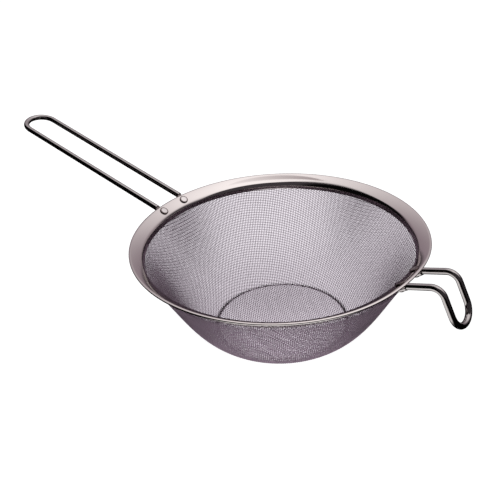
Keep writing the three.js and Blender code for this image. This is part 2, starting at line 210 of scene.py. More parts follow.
class STRAINER_PG_rivets(bpy.types.PropertyGroup):
    """Sizes of the four rivets."""

    seat_share: number("Seat share", "Place of the rivets over the brim's width", 0.5, subtype="FACTOR")
    head_diameter: length("Head diameter", "Diameter of the flat head", 6.2 * MM)
    head_height: length("Head height", "Height of the flat head", 0.9 * MM)
    head_rounding: length("Head rounding", "Rounding of the flat head's rim", 0.45 * MM)
    head_crown: length("Head crown", "How far the flat head bulges in the middle", 0.06 * MM)
    shank_diameter: length("Shank diameter", "Diameter of the shank", 2.6 * MM)
    tail_diameter: length("Tail diameter", "Diameter of the closed end", 4.4 * MM)
    tail_height: length("Tail height", "Height of the closed end", 1.1 * MM)


class STRAINER_PG_finish(bpy.types.PropertyGroup):
    """Colours of the steel."""

    brim: tint("Brim", "Polished sheet", 0.62, 0.575, 0.56)
    cloth: tint("Cloth", "Drawn weaving wire", 0.37, 0.272, 0.355)
    # crease: painted shade, the dark line where the wires bend into the base
    crease: tint("Crease", "Wire darkened in the crease round the base", 0.05, 0.04, 0.045)
    wire: tint("Wire", "Polished wire of the handle and hook", 0.38, 0.355, 0.35)
    rivet: tint("Rivet", "Rivet heads", 0.62, 0.585, 0.575)
    # rim: a painted dark ring of contact shade and dark reflection round the rivet heads
    rim: tint("Rim", "Dirt round the rivet heads", 0.12, 0.09, 0.09)


class STRAINER_PG_stage(bpy.types.PropertyGroup):
    """The camera, the lamp, the floor and the cards that the steel mirrors."""

    camera_place: place("Camera", "Where the camera stands", 0.2640, -0.3557, 0.3191)
    camera_aim: place("Aim", "What the camera looks at", -0.01277, -0.01539, 0.06248)
    camera_roll: angle("Roll", "Turn of the camera about its own axis", -3.736)
    lens: number("Lens", "Focal length in millimetres", 54.72, min=1.0)
    lamp_place: place("Lamp", "Middle of the soft box", -0.32, -0.04, 0.77)
    lamp_width: length("Lamp width", "Width of the soft box, across the view", 0.69)
    lamp_depth: length("Lamp depth", "Depth of the soft box, along the view", 0.80)
    lamp_power: number("Lamp power", "Power of the soft box", 2.8, unit="POWER")
    room_light: number("Room light", "Strength of the light from all round", 0.3)
    floor_glow: tint("Floor glow", "What lifts the lit floor to white", 0.88, 0.88, 0.88)
    # floor_shade: painted shade, a lilac glow colour in the rounds behind and under the bowl
    floor_shade: tint("Floor shade", "What lifts it where the bowl shades it", 0.80, 0.735, 0.81)
    floor_in_steel: number("Floor in steel", "Share of the glow in reflections", 1.4)
    card_distance: length("Card distance", "From the strainer to the cards round it", 1.6)
    ceiling_level: number("Ceiling level", "Strength of all the cards", 1.58)
    ceiling: tint("Ceiling", "Bright ceiling, a little to the right", 1.0, 0.985, 0.99)
    card: tint("Card", "Grey card behind the strainer", 0.222, 0.180, 0.205)
    bar: tint("Bar", "Grey bar across the ceiling, fainter on its right", 0.33, 0.29, 0.30)
    card_front: tint("Card front", "Dark card in front of the strainer", 0.045, 0.04, 0.045)
    card_side: tint("Card side", "Black cards on the left and low down", 0.002, 0.0018, 0.002)
    mat_shift: length("Mat shift", "From the strainer's axis to the middle of the mat's opening", 0.13)
    mat_narrowing: number("Mat narrowing", "Length of the mat's opening over its width", 1.6)
    mat_start: length("Mat start", "From there to the first grey of the black mat", 0.08)
    mat_full: length("Mat full", "From there to where the mat is black", 0.15)


def brim_lines(brim):
    """The brim's edge, bend and collar foot on the sheet's upper side, in the XZ plane."""
    edge = Vector((brim.edge_radius, 0.0, brim.edge_height))
    bend = edge - Vector((brim.width, 0.0, brim.rise))
    foot = bend - Vector((brim.collar_draw_in, 0.0, brim.collar_height))
    return edge, bend, foot


def lip_corner(brim):
    """Where the brim turns over into its lip, just inside its edge."""
    return Vector((brim.edge_radius - brim.lip, 0.0, brim.edge_height))


def lift_at(brim, turn):
    """How far the brim is lifted at a turn from the hook's line."""
    return brim.lift * math.exp(-((turn / brim.lift_spread) ** 2))


def underside(direction):
    """The way square to a line of the section, towards the sheet's lower and outer side."""
    return Vector((direction.z, 0.0, -direction.x))


def finish_mesh(bm, name):
    """Closes the bmesh into a smooth object in the scene."""
    bmesh.ops.remove_doubles(bm, verts=bm.verts[:], dist=MERGE_DISTANCE)
    bmesh.ops.recalc_face_normals(bm, faces=bm.faces[:])
    mesh = bpy.data.meshes.new(name)
    bm.to_mesh(mesh)
    bm.free()
    mesh.shade_smooth()
    return link_piece(name, mesh)


def link_piece(name, data):
    """A new object of that data in the scene."""
    piece = bpy.data.objects.new(name, data)
    bpy.context.scene.collection.objects.link(piece)
    return piece


def fit_to_frame(piece, node, material):
    """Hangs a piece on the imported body, in the place of one of its nodes."""
    piece.data.materials.append(material)
    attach(piece, BODY)
    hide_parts(node)


def keep_flats_flat(piece):
    """Lets the wide faces of a rivet keep their own normals next to its narrow roundings."""
    weighted = piece.modifiers.new("Flat faces", "WEIGHTED_NORMAL")
    weighted.mode = "FACE_AREA"
    weighted.weight = 100


def round_off(bm, geometry, offset, segments, affect="VERTICES"):
    """Rounds corners of a flat outline, or edges."""
    bmesh.ops.bevel(
        bm,
        geom=geometry,
        offset=offset,
        offset_type="OFFSET",
        segments=segments,
        profile=0.5,
        affect=affect,
        material=-1,
    )


def spin_about_axis(bm, steps):
    """Turns the bmesh's outline once round the Z axis."""
    bmesh.ops.spin(
        bm,
        geom=bm.verts[:] + bm.edges[:],
        cent=(0.0, 0.0, 0.0),
        axis=UP,
        angle=math.tau,
        steps=steps,
        use_merge=True,
    )


def spin_line(bm, points, steps):
    """Draws a line through points of the XZ plane and turns it once round the Z axis."""
    verts = [bm.verts.new((radius, 0.0, height)) for radius, height in points]
    for first, second in zip(verts, verts[1:]):
        bm.edges.new((first, second))
    spin_about_axis(bm, steps)


def bowed(start, end, crown):
    """Points along a line that bulges to its upper side, its ends left out."""
    along = end - start
    bulge = underside(along.normalized()) * -4.0 * crown
    shares = [0.2 + 0.08 * step for step in range(10)]
    return [start + along * share + bulge * (share * (1.0 - share)) for share in shares]


def spin_brim(brim):
    """The sheet ring: its section with rounded corners, spun round the axis."""
    edge, bend, foot = brim_lines(brim)
    lip = lip_corner(brim)
    crest = bend + UP * brim.bend_lift
    rim = edge - UP * brim.lip_droop
    below_brim = underside((edge - bend).normalized())
    collar_up = (crest - foot).normalized()
    behind_collar = underside(collar_up)
    miter = (below_brim + behind_collar) / (1.0 + below_brim.dot(behind_collar))

    bm = bmesh.new()
    corners = {
        "foot_in": foot,
        "bend": crest,
        "lip": lip,
        "edge": rim,
        "edge_below": rim - UP * brim.thickness,
        "bend_below": bend + miter * brim.thickness,
        "foot_out": foot + behind_collar * brim.thickness,
    }
    at = {}
    for name, corner in corners.items():
        at[name] = bm.verts.new(corner)
        if name == "bend":
            for point in bowed(crest, lip, brim.crown):
                bm.verts.new(point)
    bm.faces.new(bm.verts)
    half_turn = math.tan((lip - crest).angle(collar_up) / 2.0)
    round_off(bm, [at["bend"]], brim.bend_radius * half_turn, 8)
    round_off(bm, [at["bend_below"]], (brim.bend_radius - brim.thickness) * half_turn, 6)
    round_off(bm, [at["lip"]], brim.lip * LIP_ROUNDING, 5)
    round_off(bm, [at["edge"], at["edge_below"]], brim.thickness * EDGE_ROUNDING, 5)
    round_off(bm, [at["foot_in"], at["foot_out"]], brim.thickness * FOOT_ROUNDING, 3)
    bmesh.ops.delete(bm, geom=bm.faces[:], context="FACES_ONLY")
    spin_about_axis(bm, brim.facets)
    for vert in bm.verts:
        share = clamp((vert.co.z - foot.z) / brim.collar_height)
        vert.co.z += share * lift_at(brim, math.atan2(vert.co.y, vert.co.x))
    return finish_mesh(bm, "polished_brim")


class Section:
    """A line from the bowl's centre up its wall, walked by its length."""

    def __init__(self, points, lengths=None):
        self.points = points
        self.lengths = lengths or [0.0]
        if lengths is None:
            for start, end in zip(points, points[1:]):
                self.lengths.append(self.lengths[-1] + (end - start).length)

    def at(self, walked):
        """The point there, and the direction of the walk."""
        last = len(self.points) - 2
        index = clamp(bisect.bisect_right(self.lengths, walked) - 1, 0, last)
        span = self.lengths[index + 1] - self.lengths[index]
        direction = (self.points[index + 1] - self.points[index]) / span
        return self.points[index] + direction * (walked - self.lengths[index]), direction

    def on_bowl(self, walked, turn):
        """The place on the bowl at that turn round the axis, and the normal that points into the bowl."""
        point, direction = self.at(walked)
        cosine, sine = math.cos(turn), math.sin(turn)
        where = Vector((point.x * cosine, point.x * sine, point.z))
        inwards = Vector((-direction.z * cosine, -direction.z * sine, direction.x)).normalized()
        return where, inwards


def bowl_sections(brim, cloth):
    """The bowl's section as the cloth is drawn over it, and as it is pressed to the crease and the collar."""
    bend, foot = brim_lines(brim)[1:]
    collar_up = (bend - foot).normalized()
    off_collar = brim.thickness + cloth.seat_gap + cloth.wire_diameter
    lap_start = foot + underside(collar_up) * off_collar - collar_up * cloth.skirt
    crease_height = cloth.wire_diameter / 2.0 * (1.0 + TUBE_SHARE * cloth.crease_swell)
    crease = Vector((cloth.base_radius, 0.0, crease_height))
    reach = (lap_start - crease).length / 3.0
    foot_way = Vector((math.sin(cloth.foot_angle), 0.0, math.cos(cloth.foot_angle)))
    top_way = Vector((math.sin(cloth.top_angle), 0.0, math.cos(cloth.top_angle)))
    wall = interpolate_bezier(crease, crease + foot_way * reach, lap_start - top_way * reach, lap_start, 120)
    lap_length = cloth.skirt + cloth.lap

    groove_start = Vector((cloth.base_radius - cloth.crease_width, 0.0, crease.z))
    centre = Vector((0.0, 0.0, crease.z))
    drawn = Section([centre, groove_start] + wall + [lap_start + top_way * lap_length])
    lift = Vector((0.0, 0.0, cloth.base_lift))
    pressed_points = [centre + lift, groove_start + lift] + wall + [lap_start + collar_up * lap_length]
    return drawn, Section(pressed_points, drawn.lengths)


def weave_quarter(section, pitch):
    """Crossings of one quarter of a cloth whose square openings shear as it is pressed into the bowl.

    Each crossing (i, j) stands one pitch from (i - 1, j) and from (i, j - 1), and is kept as its walk up the
    section and its turn round the axis.
    """
    reach = section.lengths[-1]
    count = int(reach / pitch) + 1
    crossings = {}
    places = {}

    def keep(key, walked, turn):
        crossings[key] = (walked, turn)
        places[key] = section.on_bowl(walked, turn)[0]

    for step in range(count):
        keep((step, 0), step * pitch, 0.0)
        keep((0, step), step * pitch, math.pi / 2.0)
    for i in range(1, count):
        for j in range(1, count):
            if (i - 1, j) not in places or (i, j - 1) not in places:
                continue
            walked, turn = step_across(section, pitch, places, crossings, i, j)
            if walked > reach:
                continue
            keep((i, j), walked, turn)
    return crossings


def step_across(section, pitch, places, crossings, i, j):
    """Finds the crossing one pitch from its two neighbours, by Newton's method on the bowl."""
    left, below, behind = places[i - 1, j], places[i, j - 1], places[i - 1, j - 1]
    guess = left + below - behind
    turn = math.atan2(guess.y, guess.x)
    walked = crossings[i - 1, j][0] + crossings[i, j - 1][0] - crossings[i - 1, j - 1][0]
    for _ in range(NEWTON_ROUNDS):
        point, direction = section.at(walked)
        cosine, sine = math.cos(turn), math.sin(turn)
        where = Vector((point.x * cosine, point.x * sine, point.z))
        up_wall = Vector((direction.x * cosine, direction.x * sine, direction.z))
        round_axis = Vector((-point.x * sine, point.x * cosine, 0.0))
        from_left, from_below = where - left, where - below
        miss_left = (from_left.length_squared - pitch * pitch) / 2.0
        miss_below = (from_below.length_squared - pitch * pitch) / 2.0
        a, b = from_left.dot(up_wall), from_left.dot(round_axis)
        c, d = from_below.dot(up_wall), from_below.dot(round_axis)
        spread = a * d - b * c
        if abs(spread) < LEAST_SPREAD:
            break
        walk_back = (miss_left * d - miss_below * b) / spread
        turn_back = (a * miss_below - c * miss_left) / spread
        walked -= clamp(walk_back, -pitch, pitch)
        turn -= clamp(turn_back, -MOST_TURN, MOST_TURN)
        if abs(walk_back) < LEAST_WALK:
            break
    return walked, turn


def mirrored_turn(turn, i, j):
    """The turn of a crossing's mirror image in the quarter that the signs of i and j name."""
    if i < 0:
        turn = math.pi - turn
    return -turn if j < 0 else turn


def wire_run(crossings, line, along_first):
    """Numbers of the crossings that one wire passes, from end to end."""
    def key(step):
        return (step, line) if along_first else (line, step)

    reach = 0
    while tuple(map(abs, key(reach + 1))) in crossings:
        reach += 1
    return [key(step) for step in range(-reach, reach + 1)]


def wire_points(cloth, section, crossings, run, along_first):
    """Points along one wire, two on each crossing, that pass over one cross wire and under the next."""
    spots = []
    for i, j in run:
        walked, turn = crossings[abs(i), abs(j)]
        spots.append((walked, mirrored_turn(turn, i, j)))
    ends = [section.on_bowl(walked, turn + cloth.weave_turn) for walked, turn in spots]
    half_crest = cloth.pitch * CREST_SHARE / 2.0
    points = []
    for index, ((i, j), (where, inwards)) in enumerate(zip(run, ends)):
        before = ends[max(index - 1, 0)][0]
        after = ends[min(index + 1, len(ends) - 1)][0]
        along = (after - before).normalized()
        over = (i + j) % 2 == 0
        side = 1.0 if over == along_first else -1.0
        crest = where + inwards * (side * cloth.wire_diameter / 2.0)
        points.append(crest - along * half_crest)
        points.append(crest + along * half_crest)
    return points


def swell_at(cloth, point):
    """Thickness of a weaving wire at a point, over its own: more where it is crushed in the crease."""
    off_crease = abs(point.xy.length - cloth.base_radius) / cloth.crease_width
    return 1.0 + (cloth.crease_swell - 1.0) * clamp(2.0 - off_crease)


def weave_wires(cloth, section, crossings, lines, along_first, name):
    """One bundle of the weave's wires, as round bevelled curves."""
    curve = bpy.data.curves.new(name, "CURVE")
    curve.dimensions = "3D"
    curve.bevel_depth = cloth.wire_diameter / 2.0 * TUBE_SHARE
    curve.bevel_resolution = 0
    curve.use_fill_caps = True
    for line in lines:
        run = wire_run(crossings, line, along_first)
        if len(run) < 3:
            continue
        points = wire_points(cloth, section, crossings, run, along_first)
        spline = curve.splines.new("POLY")
        spline.points.add(len(points) - 1)
        spline.points.foreach_set("co", [value for point in points for value in (*point, 1.0)])
        spline.points.foreach_set("radius", [swell_at(cloth, point) for point in points])
        spline.use_smooth = True
    return link_piece(name, curve)


def weave_cloth(brim, cloth):
    """The woven bowl: two sets of wires, each in three bundles."""
    drawn, pressed = bowl_sections(brim, cloth)
    crossings = weave_quarter(drawn, cloth.pitch)
    outermost = max(i for i, j in crossings)
    inner = int(outermost * MIDDLE_BUNDLE)
    bundles = {
        "left": range(-outermost, -inner),
        "middle": range(-inner, inner + 1),
        "right": range(inner + 1, outermost + 1),
    }
    pieces = []
    for along_first, set_name in ((True, "warp"), (False, "weft")):
        for bundle, lines in bundles.items():
            name = f"cloth_{set_name}_{bundle}"
            pieces.append(weave_wires(cloth, pressed, crossings, lines, along_first, name))
    return pieces


class Seat:
    """Where a rivet goes through the brim, and the flattened end of wire that it holds there.

    The tab lies under the brim and points straight out from the axis, to where its leg leaves that line.
    """

    def __init__(self, brim, wires, rivets, side, offset, run):
        edge, bend, _ = brim_lines(brim)
        slope = math.atan2(brim.rise, brim.width)
        leg_reach = brim.edge_radius + run
        turn = math.asin(offset / leg_reach)
        radial = Vector((side * math.cos(turn), math.sin(turn), 0.0))
        middle = edge.lerp(bend, rivets.seat_share)
        height = middle.z + (lift_at(brim, turn) if side > 0.0 else 0.0)
        flat = radial * middle.x + UP * height
        across = (middle.x - bend.x) / (lip_corner(brim).x - bend.x)
        raised = bend.z + brim.bend_lift + (brim.rise - brim.bend_lift) * across - middle.z
        bulge = raised * math.cos(slope) + brim.crown * 4.0 * across * (1.0 - across)
        self.side = side
        self.normal = UP * math.cos(slope) - radial * math.sin(slope)
        self.out = radial * math.cos(slope) + UP * math.sin(slope)
        self.point = flat + self.normal * bulge
        self.tab = flat - self.normal * (brim.thickness + wires.seat_gap + wires.tab_thickness / 2.0)
        self.grip = bulge + brim.thickness + wires.seat_gap + wires.tab_thickness
        from_axis = self.tab.dot(radial)
        self.flat_length = (brim.edge_radius - from_axis) / math.cos(slope) + wires.tab_overhang
        self.leg_start = self.tab + self.out * ((leg_reach - from_axis) / math.cos(slope))

    def along_leg(self, reach, slope):
        """A point on the leg's line, at a reach from the axis along X."""
        rise = (reach - abs(self.leg_start.x)) * math.tan(slope)
        return Vector((self.side * reach, self.leg_start.y, self.leg_start.z + rise))


def handle_seat(brim, wires, rivets, hand):
    """One of the handle's two seats, by the sign of its Y."""
    return Seat(brim, wires, rivets, -1.0, hand * wires.handle_width / 2.0, wires.handle_run)


def hook_seat(brim, wires, rivets, hand):
    """One of the hook's two seats, by the sign of its Y."""
    return Seat(brim, wires, rivets, 1.0, hand * wires.hook_width / 2.0, wires.hook_run)


def new_edges(geometry):
    """The far ring of edges that an extrusion or a spin leaves to carry on from."""
    verts = {item for item in geometry if isinstance(item, bmesh.types.BMVert)}
    return [
        item
        for item in geometry
        if isinstance(item, bmesh.types.BMEdge) and all(vert in verts for vert in item.verts)
    ]


def carry_straight(bm, ring, step):
    """Draws a ring of edges straight on."""
    drawn = bmesh.ops.extrude_edge_only(bm, edges=ring)["geom"]
    bmesh.ops.translate(bm, verts=[v for v in drawn if isinstance(v, bmesh.types.BMVert)], vec=step)
    return new_edges(drawn)


def carry_bend(bm, ring, centre, axis, turn):
    """Bends a ring of edges round a centre."""
    steps = max(3, round(math.degrees(turn) / 4.0))
    spun = bmesh.ops.spin(bm, geom=ring, cent=centre, axis=axis, angle=turn, steps=steps)
    return new_edges(spun["geom_last"])


def bend_along(bm, ring, start, corners, radii):
    """Draws a ring through corners, bending it at each by its radius, and on to the last of them."""
    here = start
    for corner, following, radius in zip(corners, corners[1:], radii):
        way_in = (corner - here).normalized()
        way_out = (following - corner).normalized()
        turn = way_in.angle(way_out)
        tangent = corner - way_in * (radius * math.tan(turn / 2.0))
        inwards = (way_out - way_in * way_in.dot(way_out)).normalized()
        ring = carry_straight(bm, ring, tangent - here)
        ring = carry_bend(bm, ring, tangent + inwards * radius, way_in.cross(way_out).normalized(), turn)
        here = corner + way_out * (radius * math.tan(turn / 2.0))
    if (corners[-1] - here).length > MERGE_DISTANCE:
        ring = carry_straight(bm, ring, corners[-1] - here)
    return ring


def widening(wires, share):
    """How much wider a ring is for its share of the pressing."""
    return 1.0 + share * (wires.tab_width / wires.diameter - 1.0)


def press_ring(verts, centre, across, normal, wires, share):
    """Presses a round ring towards a flat one: a share of 1 gives the tab's section."""
    radius = wires.diameter / 2.0
    widen = widening(wires, share)
    limit = radius + share * (wires.tab_thickness / 2.0 - radius)
    for vert in verts:
        offset = vert.co - centre
        sideways = offset.dot(across)
        height = clamp(offset.dot(normal) * widen, -limit, limit)
        along = offset - across * sideways - normal * offset.dot(normal)
        vert.co = centre + along + across * (sideways * widen) + normal * height


def ring_verts(ring):
    """The vertices of a ring of edges."""
    return list({vert for edge in ring for vert in edge.verts})


def start_tab(bm, wires, seat):
    """The flattened end of a wire with its rounded nose, drawn on past the brim's edge."""
    across = seat.normal.cross(seat.out)
    nose = seat.tab - seat.out * wires.tab_reach
    turn = Matrix((across, seat.normal, seat.out)).transposed().to_4x4()
    made = bmesh.ops.create_circle(
        bm, radius=wires.diameter / 2.0, segments=wires.sides, matrix=Matrix.Translation(nose) @ turn
    )
    ring = list({edge for vert in made["verts"] for edge in vert.link_edges})
    press_ring(made["verts"], nose, across, seat.normal, wires, 1.0)
    cap = bmesh.ops.contextual_create(bm, geom=ring)["faces"]
    ring = carry_straight(bm, ring, seat.out * (wires.tab_reach + seat.flat_length))
    round_off(bm, list(cap[0].edges), wires.tab_thickness * NOSE_ROUNDING, 3, "EDGES")
    return ring


def leave_tab(bm, wires, ring, seat, slope):
    """Carries the flat ring up onto the leg's line until it is round, and gives the place it has reached."""
    steps = 8
    flat_end = seat.tab + seat.out * seat.flat_length
    leg = seat.along_leg(abs(flat_end.x) + wires.flattening, slope)
    leg_out = (seat.along_leg(1.0, slope) - leg).normalized()
    leg_normal = (UP - leg_out * leg_out.z).normalized()
    reach = (leg - flat_end).length / 3.0
    path = interpolate_bezier(flat_end, flat_end + seat.out * reach, leg - leg_out * reach, leg, steps + 1)
    here, normal, out, pressed = path[0], seat.normal, seat.out, 1.0
    for step, centre in enumerate(path[1:], 1):
        ring = carry_straight(bm, ring, centre - here)
        verts = ring_verts(ring)
        half_width = wires.diameter / 2.0 * widening(wires, pressed)
        bearings = [bearing(vert.co - centre, normal.cross(out), normal, half_width) for vert in verts]
        share = step / steps
        pressed = 0.5 + 0.5 * math.cos(math.pi * share)
        out = seat.out.lerp(leg_out, share).normalized()
        normal = seat.normal.lerp(leg_normal, share)
        normal = (normal - out * out.dot(normal)).normalized()
        across = normal.cross(out)
        for vert, turn in zip(verts, bearings):
            vert.co = centre + (across * math.cos(turn) + normal * math.sin(turn)) * (wires.diameter / 2.0)
        press_ring(verts, centre, across, normal, wires, pressed)
        here = centre
    collar = leg_out * wires.collar
    return carry_straight(bm, ring, collar), leg + collar


def bearing(offset, across, normal, half_width):
    """The angle that a pressed ring's vertex had in the ring's plane before it was pressed."""
    sideways = clamp(offset.dot(across) / half_width, -1.0, 1.0)
    return math.copysign(math.acos(sideways), offset.dot(normal))


def bend_wire(wires, seat, slope, corners, radii, name):
    """One half of a wire from its tab through its corners, and its other half across the handle's line."""
    bm = bmesh.new()
    ring, start = leave_tab(bm, wires, start_tab(bm, wires, seat), seat, slope)
    bend_along(bm, ring, start, corners, radii)
    half = bm.verts[:] + bm.edges[:] + bm.faces[:]
    bmesh.ops.mirror(bm, geom=half, matrix=Matrix(), merge_dist=MERGE_DISTANCE, axis="Y")
    return finish_mesh(bm, name)


def bend_handle(brim, wires, rivets):
    """The handle: a long loop of wire whose two legs rise from tabs under the brim."""
    seat = handle_seat(brim, wires, rivets, -1.0)
    shoulder = seat.along_leg(brim.edge_radius + wires.handle_reach, wires.handle_slope)
    corners = [shoulder, Vector((shoulder.x, 0.0, shoulder.z))]
    return bend_wire(wires, seat, wires.handle_slope, corners, [wires.handle_width / 2.0], "bent_handle")


def bend_hook(brim, wires, rivets):
    """The rest hook: two arms that rise from tabs under the brim and fall to a toe."""
    seat = hook_seat(brim, wires, rivets, -1.0)
    elbow = seat.along_leg(brim.edge_radius + wires.elbow_reach, wires.hook_slope)
    fall = Vector((math.sin(wires.fall_angle), 0.0, -math.cos(wires.fall_angle)))
    toe = elbow + fall * wires.fall_length
    corners = [elbow, toe, Vector((toe.x, 0.0, toe.z))]
    radii = [wires.elbow_radius, wires.toe_radius]
    return bend_wire(wires, seat, wires.hook_slope, corners, radii, "bent_hook")


def dome_outline(radius, height, edge, rows):
    """Outline of a low dome over a rim of that height, from its rim to its top."""
    rise = height - edge
    ball = (radius * radius + rise * rise) / (2.0 * rise)
    half = math.asin(radius / ball)
    outline = []
    for row in range(rows + 1):
        lean = half * (1.0 - row / rows)
        outline.append((ball * math.sin(lean), edge + rise - ball + ball * math.cos(lean)))
    return outline


def flat_head_outline(rivets, rows):
    """Outline of a flat head with a rounded rim and a slight crown, from its rim to its top."""
    radius, height, rounding = rivets.head_diameter / 2.0, rivets.head_height, rivets.head_rounding
    flat = radius - rounding
    shoulder = height - rivets.head_crown
    outline = []
    for row in range(rows + 1):
        lean = math.pi / 2.0 * row / rows
        outline.append((flat + rounding * math.cos(lean), shoulder - rounding * (1.0 - math.sin(lean))))
    for row in range(1, rows + 1):
        share = 1.0 - row / rows
        outline.append((flat * share, shoulder + rivets.head_crown * (1.0 - share * share)))
    return outline


def set_rivet(rivets, seat, name):
    """One rivet: a flat head on the brim, a shank and a closed end under the tab."""
    head = flat_head_outline(rivets, 6)
    tail = dome_outline(rivets.tail_diameter / 2.0, rivets.tail_height, TAIL_RIM, 6)
    shank = rivets.shank_diameter / 2.0
    lower = [(radius, -seat.grip - height) for radius, height in reversed(tail)]
    middle = [(tail[0][0], -seat.grip), (shank, -seat.grip), (shank, 0.0), (head[0][0], 0.0)]

    bm = bmesh.new()
    spin_line(bm, lower + middle + head, 36)
    head_radius = rivets.head_diameter / 2.0
    # The rim layer marks the painted dark ring of shade and reflection round the head's edge
    rim = bm.verts.layers.float.new(RIM_SHADE)
    for vert in bm.verts:
        share = vert.co.xy.length / head_radius
        vert[rim] = clamp((share - RIM_SHADE_START) / (RIM_SHADE_FULL - RIM_SHADE_START))
    turn = Matrix((seat.out, seat.normal.cross(seat.out), seat.normal)).transposed().to_4x4()
    bmesh.ops.transform(bm, matrix=Matrix.Translation(seat.point) @ turn, verts=bm.verts[:])
    piece = finish_mesh(bm, name)
    keep_flats_flat(piece)
    return piece


class Shades:
    """The nodes of a material or a world, added one by one."""

    def __init__(self, owner):
        owner.use_nodes = True
        self.nodes, self.links = owner.node_tree.nodes, owner.node_tree.links
        self.nodes.clear()

    def add(self, kind, **settings):
        """A new node with its settings."""
        node = self.nodes.new(kind)
        for name, value in settings.items():
            setattr(node, name, value)
        return node

    def feed(self, socket, value):
        """Sets a socket to a number or a colour, or links another socket to it."""
        if isinstance(value, bpy.types.NodeSocket):
            self.links.new(value, socket)
        elif isinstance(value, float):
            socket.default_value = value
        else:
            socket.default_value = (*value, 1.0)

    def math(self, operation, first, second):
        """Joins two numbers, either of which may be fixed."""
        node = self.add("ShaderNodeMath", operation=operation)
        self.feed(node.inputs[0], first)
        self.feed(node.inputs[1], second)
        return node.outputs["Value"]

    def spread(self, value, low, high, start=0.3, end=0.7, ease="LINEAR"):
        """Maps a number between two values onto a range."""
        node = self.add("ShaderNodeMapRange", interpolation_type=ease)
        inputs = {"Value": value, "From Min": start, "From Max": end, "To Min": low, "To Max": high}
        for name, limit in inputs.items():
            self.feed(node.inputs[name], limit)
        return node.outputs["Result"]

    def step(self, value, start, end):
        """Eases from 0 to 1 between two values."""
        return self.spread(value, 0.0, 1.0, start, end, "SMOOTHSTEP")

    def blend(self, share, first, second):
        """Mixes two colours by a share."""
        node = self.add("ShaderNodeMix", data_type="RGBA")
        self.links.new(share, node.inputs["Factor"])
        self.feed(node.inputs["A"], first)
        self.feed(node.inputs["B"], second)
        return node.outputs["Result"]

    def vector(self, operation, first, second=(0.0, 0.0, 0.0), output="Value"):
        """Joins a vector with a fixed one."""
        node = self.add("ShaderNodeVectorMath", operation=operation)
        node.inputs[1].default_value = second
        self.links.new(first, node.inputs[0])
        return node.outputs[output]

    def glow(self, colour, strength):
        """A shader that only glows."""
        node = self.add("ShaderNodeEmission")
        self.feed(node.inputs["Color"], colour)
        self.feed(node.inputs["Strength"], strength)
        return node.outputs["Emission"]

    def fade(self, share, first, second):
        """Mixes two shaders by a share."""
        node = self.add("ShaderNodeMixShader")
        self.links.new(share, node.inputs["Fac"])
        self.links.new(first, node.inputs[1])
        self.links.new(second, node.inputs[2])
        return node.outputs["Shader"]

    def clear(self):
        """A shader that isn't there."""
        return self.add("ShaderNodeBsdfTransparent").outputs["BSDF"]

    def surface(self, shader, kind="ShaderNodeOutputMaterial"):
        """Ends the tree."""
        self.links.new(shader, self.add(kind).inputs["Surface"])


class Steel(Shades):
    """A steel material."""

    def __init__(self, name, colour, roughness):
        self.material = bpy.data.materials.new(name)
        super().__init__(self.material)
        self.shader = self.add("ShaderNodeBsdfPrincipled")
        self.surface(self.shader.outputs["BSDF"])
        self.place = self.add("ShaderNodeTexCoord").outputs["Object"]
        self.set("Base Color", colour)
        self.set("Metallic", 1.0)
        self.set("Roughness", roughness)

    def set(self, name, value):
        """Sets or drives one of the shader's inputs."""
        self.feed(self.shader.inputs[name], value)

    def noise(self, scale, detail=2.0):
        """A cloudy pattern over the piece."""
        node = self.add("ShaderNodeTexNoise")
        node.inputs["Scale"].default_value = scale
        node.inputs["Detail"].default_value = detail
        self.links.new(self.place, node.inputs["Vector"])
        return node.outputs["Fac"]

    def cloud(self, colour, scale, share):
        """A colour that cloudy patches dim to a share of itself, and those patches."""
        patches = self.spread(self.noise(scale, 3.0), 0.0, 1.0)
        return self.blend(patches, colour, darker(colour, share)), patches


def darker(colour, share):
    """A colour dimmed to a share of itself."""
    return tuple(channel * share for channel in colour)


def brim_steel(finish):
    """Polished sheet with a few cloudy smears."""
    steel = Steel("brim_steel", finish.brim, 0.09)
    colour, smears = steel.cloud(finish.brim, 24.0, 0.94)
    steel.set("Base Color", colour)
    steel.set("Roughness", steel.spread(smears, 0.07, 0.11, 0.0, 1.0))
    return steel.material


def mesh_steel(finish, cloth):
    """Drawn wire, cloudy with handling, with painted shade darkening the crease round the base."""
    steel = Steel("mesh_steel", finish.cloth, 0.4)
    steel.set("Metallic", 0.5)
    colour = steel.cloud(finish.cloth, 60.0, 0.86)[0]
    from_axis = steel.vector("LENGTH", steel.vector("MULTIPLY", steel.place, (1.0, 1.0, 0.0), "Vector"))
    off_crease = steel.math("ABSOLUTE", steel.math("SUBTRACT", from_axis, cloth.base_radius), 0.0)
    # Painted shade along the crease round the base, broken up by noise
    painted_crease_shade = steel.spread(off_crease, 1.0, 0.0, 0.9 * MM, 1.5 * MM)
    broken = steel.spread(steel.noise(420.0, 1.0), 0.0, 1.0, 0.36, 0.48)
    dark = steel.math("MULTIPLY", painted_crease_shade, broken)
    steel.set("Base Color", steel.blend(dark, colour, finish.crease))
    return steel.material


def wire_steel(finish):
    """Polished wire, slightly cloudy."""
    steel = Steel("wire_steel", finish.wire, 0.08)
    steel.set("Base Color", steel.cloud(finish.wire, 70.0, 0.94)[0])
    return steel.material


def rivet_steel(finish):
    """Polished rivet heads with a painted dark ring of shade and reflection round their rims."""
    steel = Steel("rivet_steel", finish.rivet, 0.14)
    rim = steel.add("ShaderNodeAttribute", attribute_name=RIM_SHADE).outputs["Fac"]
    steel.set("Base Color", steel.blend(rim, finish.rivet, finish.rim))
    return steel.material


class STRAINER_OT_spin_brim(bpy.types.Operator):
    """Spin the polished sheet ring"""

    bl_idname = "strainer.spin_brim"
    bl_label = "Spin Brim"
    bl_options = {"REGISTER", "UNDO"}

    def execute(self, context):
        scene = context.scene
        material = brim_steel(scene.strainer_finish)
        fit_to_frame(spin_brim(scene.strainer_brim), "brim_ring", material)
        return {"FINISHED"}


